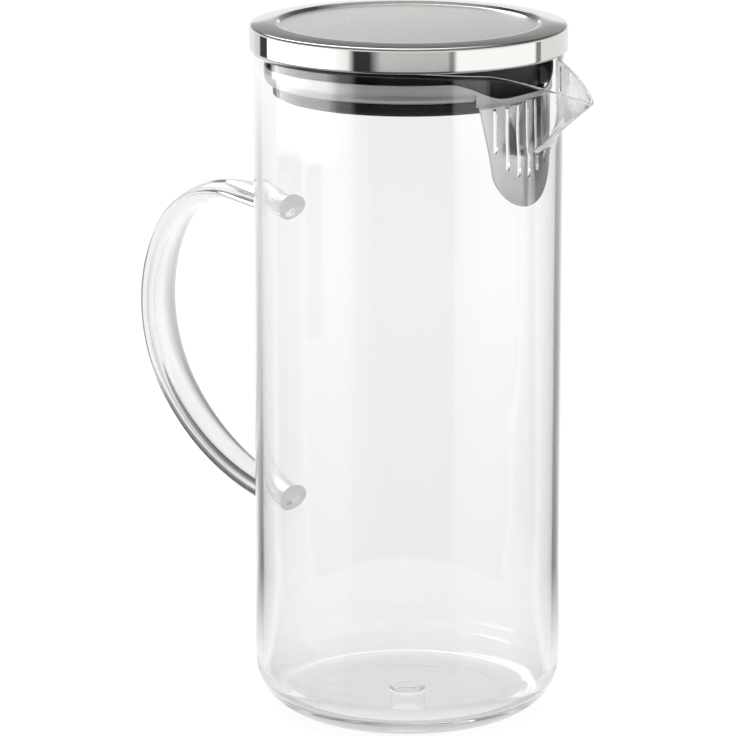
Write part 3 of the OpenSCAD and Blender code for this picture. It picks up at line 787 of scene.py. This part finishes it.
def stage_light(name, section, start, end, direct=0, passes=0):
    """A curved glowing stage piece: its nodes, its emission, and sockets of azimuth, radius and height.

    Rays with fewer passes through glass than direct see it unmirrored, and none with fewer than passes."""
    material, tree, out = new_material(name + "_light")
    where = add(tree, "ShaderNodeTexCoord").outputs["Object"]
    ahead = add(tree, "ShaderNodeVectorMath", {0: where, 1: to_camera}, operation="DOT_PRODUCT")
    aside = add(tree, "ShaderNodeVectorMath", {0: where, 1: to_right}, operation="DOT_PRODUCT")
    turn = add(tree, "ShaderNodeMath", {0: aside.outputs["Value"], 1: ahead.outputs["Value"]},
               operation="ARCTAN2")
    flat = add(tree, "ShaderNodeVectorMath", {0: where, 1: (1, 1, 0)}, operation="MULTIPLY")
    away = add(tree, "ShaderNodeVectorMath", {0: flat.outputs["Vector"]}, operation="LENGTH")
    height = add(tree, "ShaderNodeSeparateXYZ", {"Vector": where})
    light = add(tree, "ShaderNodeEmission", {"Color": (1, 1, 1, 1)})
    path = add(tree, "ShaderNodeLightPath")
    bent = add(tree, "ShaderNodeMath", {0: path.outputs["Transmission Depth"], 1: direct - 0.5},
               operation="LESS_THAN")
    seen = add(tree, "ShaderNodeMath", {0: path.outputs["Glossy Depth"], 1: bent.outputs[0]},
               operation="ADD", use_clamp=True)
    for count, limit, test in (("Ray Depth", DEEP_RAY, "LESS_THAN"),
                               ("Transmission Depth", passes - 0.5, "GREATER_THAN")):
        within = add(tree, "ShaderNodeMath", {0: path.outputs[count], 1: limit}, operation=test)
        seen = add(tree, "ShaderNodeMath", {0: seen.outputs[0], 1: within.outputs[0]},
                   operation="MULTIPLY")
    clear = add(tree, "ShaderNodeBsdfTransparent")
    mix = add(tree, "ShaderNodeMixShader", {
        0: seen.outputs[0], 1: clear.outputs["BSDF"], 2: light.outputs["Emission"]})
    tree.links.new(mix.outputs[0], out.inputs["Surface"])
    turned = spin_section(section, STAGE_SEGMENTS, CAMERA_ANGLE + start, CAMERA_ANGLE + end)
    piece = make_object(name, turned, [material])
    piece.visible_camera = piece.visible_diffuse = piece.visible_shadow = False
    piece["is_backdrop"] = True
    print(name, "stands from", start, "to", end, "degrees")
    return tree, light, turn.outputs[0], away.outputs["Value"], height.outputs["Z"]


# %% [markdown]
# ## The light tent
# The tent is a ring of paper on the floor and a low wall round it: a bright softbox on the left, a weaker one
# on the right, a grey card towards the camera and dark gaps between them, which polished steel shows as hard
# bands. A colour ramp runs round the tent and carries four levels at once: red and green for the floor near
# the jug and far from it, which the glass mirrors, blue for the height that the collar and its ring mirror,
# and alpha for the height that the cap's skirt mirrors.

# %% Put up the tent
TENT_START, TENT_END, TENT_MAX = -143.0, 107.0, 5.0
TENT_NEAR, TENT_AWAY, TENT_HIGH, TENT_STAND = 80.0, 800.0, 128.0, 1.0
COLLAR_FROM, COLLAR_AT, SKIRT_FROM, SKIRT_AT = 50.0, 72.0, 99.0, 101.0
# Each stop: azimuth in degrees, then the red, green, blue and alpha levels.
TENT_STOPS = [(-143, 0.8, 0.8, 0.85, 0.85), (-133, 0.8, 0.8, 0.85, 0.85), (-131, 0.1, 0.1, 0.06, 0.06),
              (-120, 0.1, 0.1, 0.06, 0.06), (-117, 0.3, 0.85, 5.0, 5.0), (-62, 0.3, 0.85, 5.0, 5.0),
              (-52, 0.3, 0.8, 1.4, 1.4), (-43, 0.25, 0.7, 1.2, 1.2), (-38, 0.04, 0.1, 0.04, 0.04),
              (-27, 0.04, 0.08, 0.04, 0.04), (-19, 0.04, 0.12, 0.1, 0.74), (27, 0.04, 0.12, 0.1, 0.7),
              (29, 0.04, 0.1, 0.04, 0.35), (31, 0.04, 0.1, 0.04, 0.35), (34, 0.25, 0.6, 1.3, 1.35),
              (60, 0.3, 1.0, 1.3, 1.35), (100, 0.3, 1.0, 1.3, 1.35), (102, 0.3, 0.3, 0.3, 0.3),
              (107, 0.3, 0.3, 0.3, 0.3)]

section = [(TENT_NEAR, TENT_STAND), (TENT_AWAY, TENT_STAND), (TENT_AWAY, TENT_HIGH)]
tree, light, turn, away, height = stage_light("light_tent", section, TENT_START, TENT_END)
share = add(tree, "ShaderNodeMapRange", {
    "Value": turn, "From Min": math.radians(TENT_START), "From Max": math.radians(TENT_END)})
ramp = add(tree, "ShaderNodeValToRGB", {"Fac": share.outputs["Result"]})
spots = ramp.color_ramp.elements
for azimuth, *levels in TENT_STOPS[1:-1]:
    spots.new((azimuth - TENT_START) / (TENT_END - TENT_START)).color = [v / TENT_MAX for v in levels]
for end in (0, -1):
    spots[end].color = [v / TENT_MAX for v in TENT_STOPS[end][1:]]
zone = add(tree, "ShaderNodeSeparateColor", {"Color": ramp.outputs["Color"]})
level = zone.outputs["Red"]
for place, start, end, goal in ((away, TENT_NEAR, TENT_AWAY, zone.outputs["Green"]),
                                (height, COLLAR_FROM, COLLAR_AT, zone.outputs["Blue"]),
                                (height, SKIRT_FROM, SKIRT_AT, ramp.outputs["Alpha"])):
    level = add(tree, "ShaderNodeMapRange", {
        "Value": place, "From Min": start * MM, "From Max": end * MM,
        "To Min": level, "To Max": goal}).outputs["Result"]
level = add(tree, "ShaderNodeMath", {0: level, 1: TENT_MAX}, operation="MULTIPLY")
tree.links.new(level.outputs[0], light.inputs["Strength"])
print("light tent:", len(spots), "stops round", TENT_END - TENT_START, "degrees")

# %% [markdown]
# ## Cards and flags
# Clear glass on white paper has no outline, so a grey card stands close behind the jug on each side. Light
# that is bent at the edge of the glass comes from there, and draws a dark line along it. The cards fade to
# white at their rims and near the floor, so that the line fades too. Three small dark flags give the
# strainer's bright tongue its dark parts, and only rays that went into the glass and out again see them.

# %% Stand the cards and flags
CARD_AWAY, CARD_FULL, CARD_HIGH, CARD_SOFT = 200.0, 165.0, 195.0, 9.0
CARD_STAND, CARD_FOOT, CARD_NEAR_LEVEL = TENT_STAND + 0.5, 2.0, 0.95
THROUGH_PASSES = 4
# Each card: middle and half width in degrees, level at its foot's far edge and level at full height.
CARDS = [("left_side_card", -126, 24, 0.2, 0.75), ("right_side_card", 126, 26, 0.25, 0.42)]
for name, middle, half, low, high in CARDS:
    section = [(TENT_NEAR, CARD_STAND), (CARD_AWAY, CARD_STAND), (CARD_AWAY, CARD_HIGH)]
    tree, light, turn, away, height = stage_light(name, section, middle - half, middle + half,
                                                  direct=THROUGH_PASSES)
    level = CARD_NEAR_LEVEL
    for place, start, end, goal in ((away, TENT_NEAR, CARD_AWAY, low),
                                    (height, CARD_FOOT, CARD_FULL, high),
                                    (height, CARD_FULL, CARD_HIGH, 1.0)):
        level = add(tree, "ShaderNodeMapRange", {
            "Value": place, "From Min": start * MM, "From Max": end * MM,
            "To Min": level, "To Max": goal}).outputs["Result"]
    aside = add(tree, "ShaderNodeMath", {0: turn, 1: math.radians(middle)}, operation="SUBTRACT")
    aside = add(tree, "ShaderNodeMath", {0: aside.outputs[0]}, operation="ABSOLUTE")
    level = add(tree, "ShaderNodeMapRange", {
        "Value": aside.outputs[0], "From Min": math.radians(half - CARD_SOFT),
        "From Max": math.radians(half), "To Min": level, "To Max": 1.0})
    tree.links.new(level.outputs["Result"], light.inputs["Strength"])

# Each flag: start and end in degrees, section and level.
FLAGS = [("floor_flag", 76, 101, [(480, 1.6), (790, 1.6), (790, 25)], 0.05),
         ("upright_flag", 107, 118, [(198, 130), (198, 202)], 0.01),
         ("side_flag", 118, 136, [(198, 140), (198, 202)], 0.06)]
for name, start, end, section, level in FLAGS:
    light = stage_light(name, section, start, end, passes=THROUGH_PASSES)[1]
    light.inputs["Strength"].default_value = level

# %% [markdown]
# ## Lamps
# Two large soft lamps and a wide light from overhead light what isn't a mirror or glass: the paper, the dark
# plastic and the dull steel. Reflections and glass don't see them, because the tent and the sky show there.

# %% Hang the lamps
LAMP_AIM = 120.0
OVERHEAD_ENERGY, OVERHEAD_ANGLE = 2.0, 100
# Each lamp: azimuth in degrees, distance, height, size, and power in watts.
LAMPS = [("left_lamp", -85, 1300, 1000, 1200, 14.0), ("right_lamp", 70, 1300, 900, 1000, 8.0)]
for name, azimuth, away, high, size, power in LAMPS:
    lamp = bpy.data.objects.new(name, bpy.data.lights.new(name, "AREA"))
    bpy.context.scene.collection.objects.link(lamp)
    lamp.data.size, lamp.data.energy = size * MM, power
    angle = math.radians(CAMERA_ANGLE + azimuth)
    lamp.location = (away * MM * math.cos(angle), away * MM * math.sin(angle), high * MM)
    lamp.rotation_mode = "QUATERNION"
    lamp.rotation_quaternion = (Vector((0, 0, LAMP_AIM * MM)) - lamp.location).to_track_quat("-Z", "Y")
    lamp.visible_glossy = lamp.visible_transmission = False
    print(name, "gives", power, "W from", round(lamp.location.length, 2), "m")
overhead = bpy.data.objects.new("overhead_light", bpy.data.lights.new("overhead_light", "SUN"))
bpy.context.scene.collection.objects.link(overhead)
overhead.data.energy, overhead.data.angle = OVERHEAD_ENERGY, math.radians(OVERHEAD_ANGLE)
overhead.visible_glossy = overhead.visible_transmission = False

# %% [markdown]
# ## Sky
# The world is a white backdrop up to just above the horizon, and falls to a dark ceiling, which the cap's top
# mirrors. A round softbox in it, above and behind the jug, lays a soft light on the brushed recess. The
# camera always sees white. A ray that was bent very often meets one even level instead, as light that has
# been all round a studio does, and that keeps thick glass calm.

# %% Paint the sky
# Each stop: rise above the horizon in degrees, and grey.
SKY = [(-90, 1.0), (8.1, 1.0), (9.0, 0.58), (10.5, 0.42), (16, 0.3), (30, 0.12), (44, 0.08),
       (58, 0.4), (90, 0.5)]
BOX_ASIDE, BOX_RISE, BOX_LEVEL = math.radians(12), math.radians(42), 4.0
BOX_EDGE, BOX_FULL = math.radians(19), math.radians(14)
DEEP_LEVEL = 0.76

world = bpy.data.worlds.new("studio")
bpy.context.scene.world = world
world.use_nodes = True
tree = world.node_tree
tree.nodes.clear()
out = add(tree, "ShaderNodeOutputWorld")
path = add(tree, "ShaderNodeLightPath")
where = add(tree, "ShaderNodeTexCoord")
up = add(tree, "ShaderNodeSeparateXYZ", {"Vector": where.outputs["Generated"]})
share = add(tree, "ShaderNodeMapRange", {"Value": up.outputs["Z"], "From Min": -1.0, "From Max": 1.0})
ramp = add(tree, "ShaderNodeValToRGB", {"Fac": share.outputs["Result"]})
spots = ramp.color_ramp.elements
for rise, grey in SKY[1:-1]:
    spots.new((math.sin(math.radians(rise)) + 1) / 2).color = (grey, grey, grey, 1.0)
for end in (0, -1):
    spots[end].color = [SKY[end][1]] * 3 + [1.0]
box_aim = (to_camera * -math.cos(BOX_ASIDE) - to_right * math.sin(BOX_ASIDE)) * math.cos(BOX_RISE)
box_aim.z = math.sin(BOX_RISE)
box_off = add(tree, "ShaderNodeVectorMath", {0: where.outputs["Generated"], 1: box_aim},
              operation="DOT_PRODUCT")
box = add(tree, "ShaderNodeMapRange", {
    "Value": box_off.outputs["Value"], "From Min": math.cos(BOX_EDGE), "From Max": math.cos(BOX_FULL),
    "To Max": BOX_LEVEL})
level = add(tree, "ShaderNodeMath", {0: ramp.outputs["Color"], 1: box.outputs["Result"]},
            operation="ADD")
level = add(tree, "ShaderNodeMath", {0: level.outputs[0], 1: path.outputs["Is Camera Ray"]},
            operation="MAXIMUM")
level = add(tree, "ShaderNodeMapRange", {
    "Value": path.outputs["Ray Depth"], "From Min": DEEP_RAY - 0.5, "From Max": DEEP_RAY + 0.5,
    "To Min": level.outputs[0], "To Max": DEEP_LEVEL})
sky = add(tree, "ShaderNodeBackground", {"Color": (1, 1, 1, 1), "Strength": level.outputs["Result"]})
tree.links.new(sky.outputs["Background"], out.inputs["Surface"])
print("sky:", len(spots), "greys from the floor to the ceiling")

# %% [markdown]
# ## How light is followed
# The Standard view shows colours as they are written. Light crosses many glass surfaces here, so it may
# bounce far more often than usual. Fast GI ends a path that has scattered several times with the sky's even
# light, which costs little and leaves no dark specks in the glass.

# %% Set the bounces
BOUNCES, GI_BOUNCES, GI_REACH = 48, 6, 2.0
scene = bpy.context.scene
scene.view_settings.view_transform = "Standard"
scene.cycles.max_bounces = scene.cycles.glossy_bounces = scene.cycles.transmission_bounces = BOUNCES
scene.cycles.use_fast_gi = True
scene.cycles.fast_gi_method = "REPLACE"
scene.cycles.ao_bounces_render = GI_BOUNCES
world.light_settings.distance = GI_REACH * MM
print("light may bounce", scene.cycles.max_bounces, "times")

# %% [markdown]
# ## Last: sizes
# The visual model is meant to fill the same box as the CAD model, so its size is printed here.

# %% Write the sizes and finish
low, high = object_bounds()
print("size in mm:", [round((b - a) / MM, 1) for a, b in zip(low, high)])
